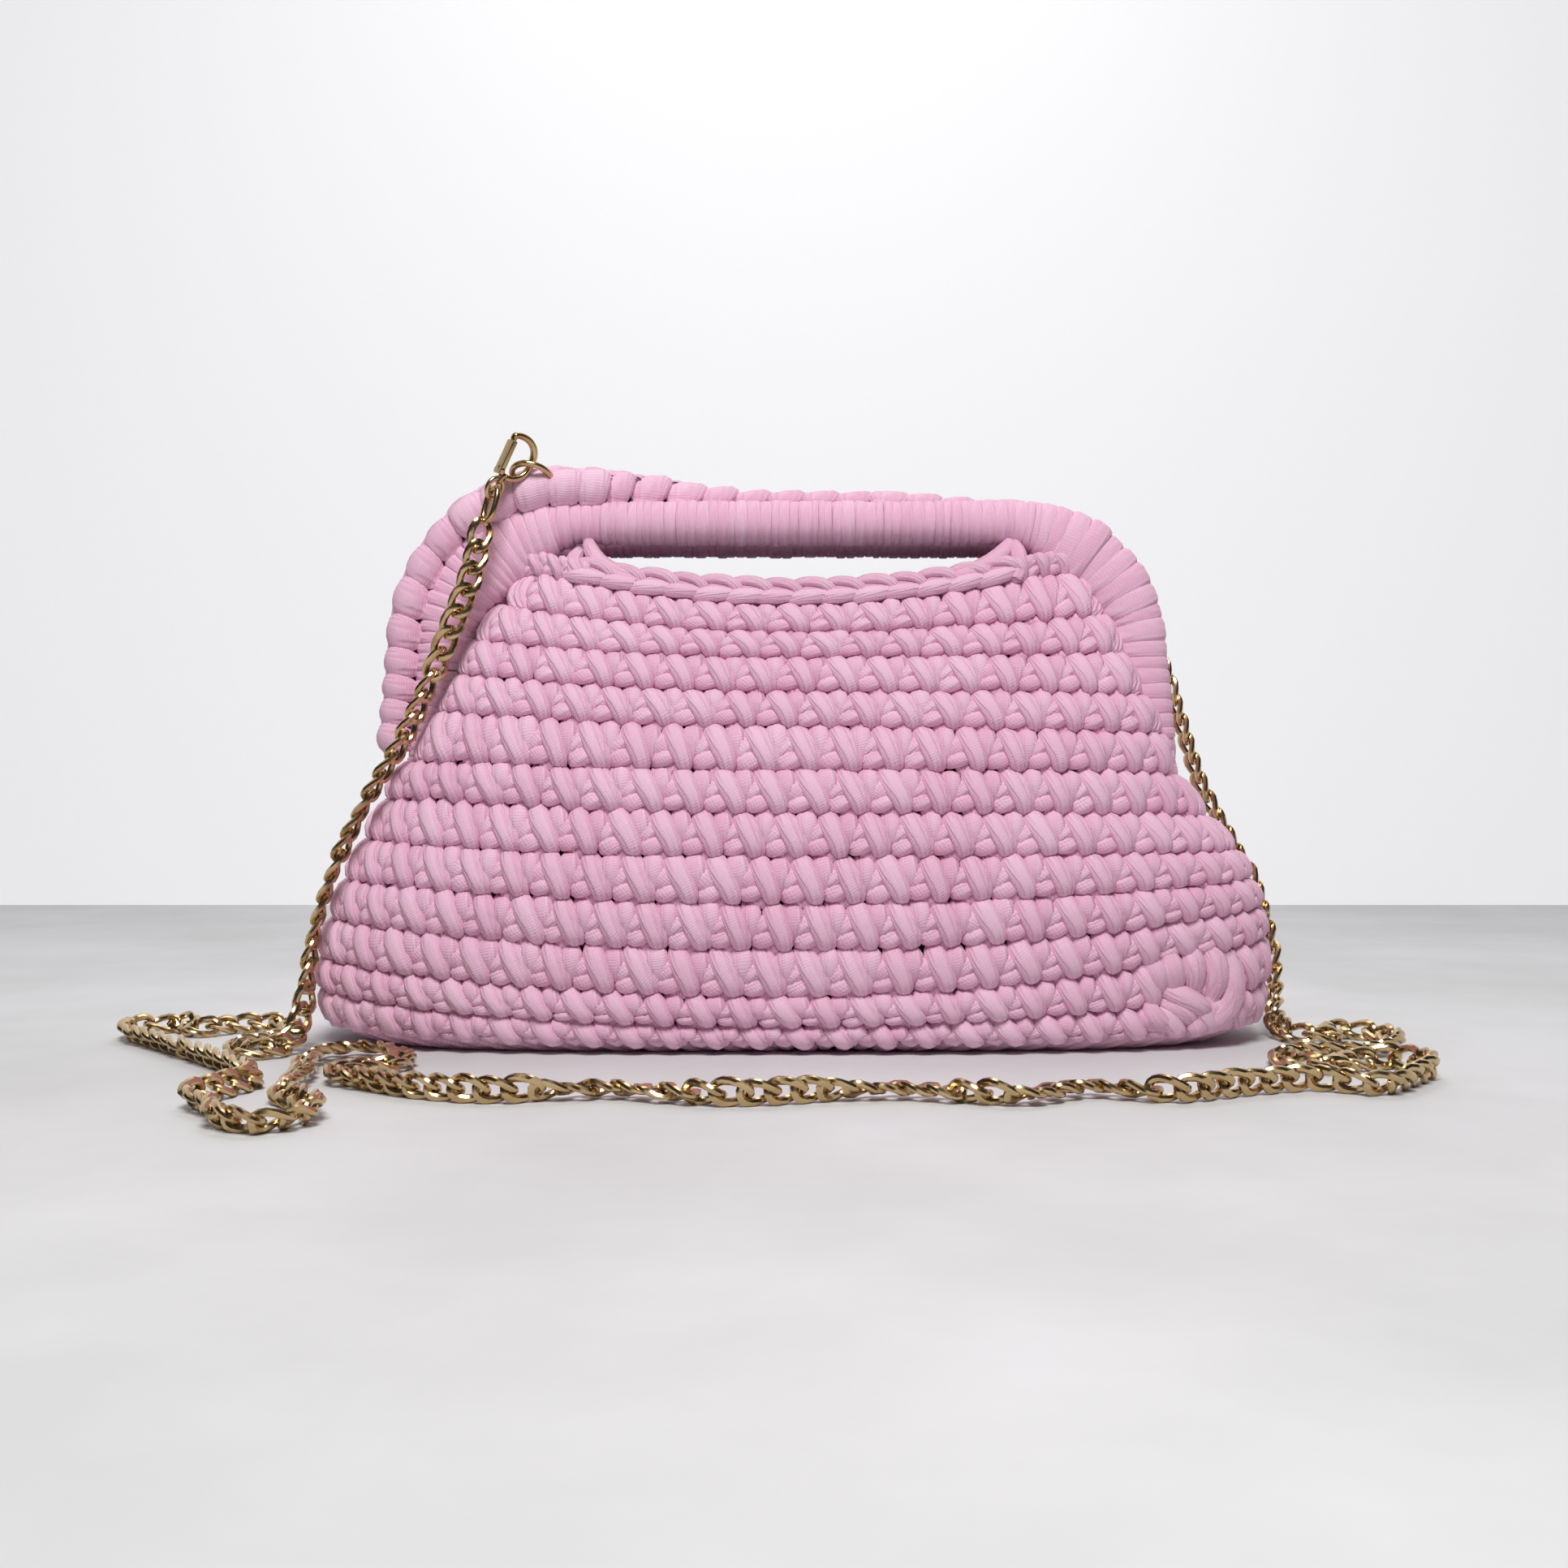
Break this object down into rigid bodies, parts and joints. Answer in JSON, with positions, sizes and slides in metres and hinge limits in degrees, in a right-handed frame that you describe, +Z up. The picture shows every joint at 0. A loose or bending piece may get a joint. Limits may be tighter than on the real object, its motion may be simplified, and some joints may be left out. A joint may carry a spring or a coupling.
{
  "type": "crochet bag",
  "caption": "Pink crochet bag with a hollow pouch between two yarn-wound arch frames, a gold snap clasp whose gate opens, and a gold chain strap lying on the surface.",
  "frame": {"origin": "middle of the pouch's flat base, on the surface that the bag stands on", "axes": "+Z up, -Y towards the front, +X to the right seen from the front"},
  "size_m": [0.4076, 0.2173, 0.1926],
  "materials": {
    "yarn": "pink cotton jersey yarn, soft matte with a slight sheen",
    "gold": "polished light gold plating"
  },
  "bodies": {
    "bag": {"pouch": "yarn", "front_frame": "yarn", "rear_frame": "yarn", "front_edging": "yarn", "rear_edging": "yarn", "front_braid": "yarn", "rear_braid": "yarn", "left_ring": "gold", "rear_ring": "gold", "clasp_hook": "gold", "clasp_link": "gold", "chain": "gold", "rear_clasp": "gold"},
    "gate": {"clasp_gate": "gold"}
  },
  "joints": [
    {"name": "gate_hinge", "type": "hinge", "parent": "bag", "child": "gate", "pos_m": [-0.089, -0.029, 0.1806], "axis": [-0.5983, 0.7531, 0.2738], "range_deg": [0, 22], "stiffness_Nm_per_rad": 0.002, "springref_deg": -11.46}
  ]
}
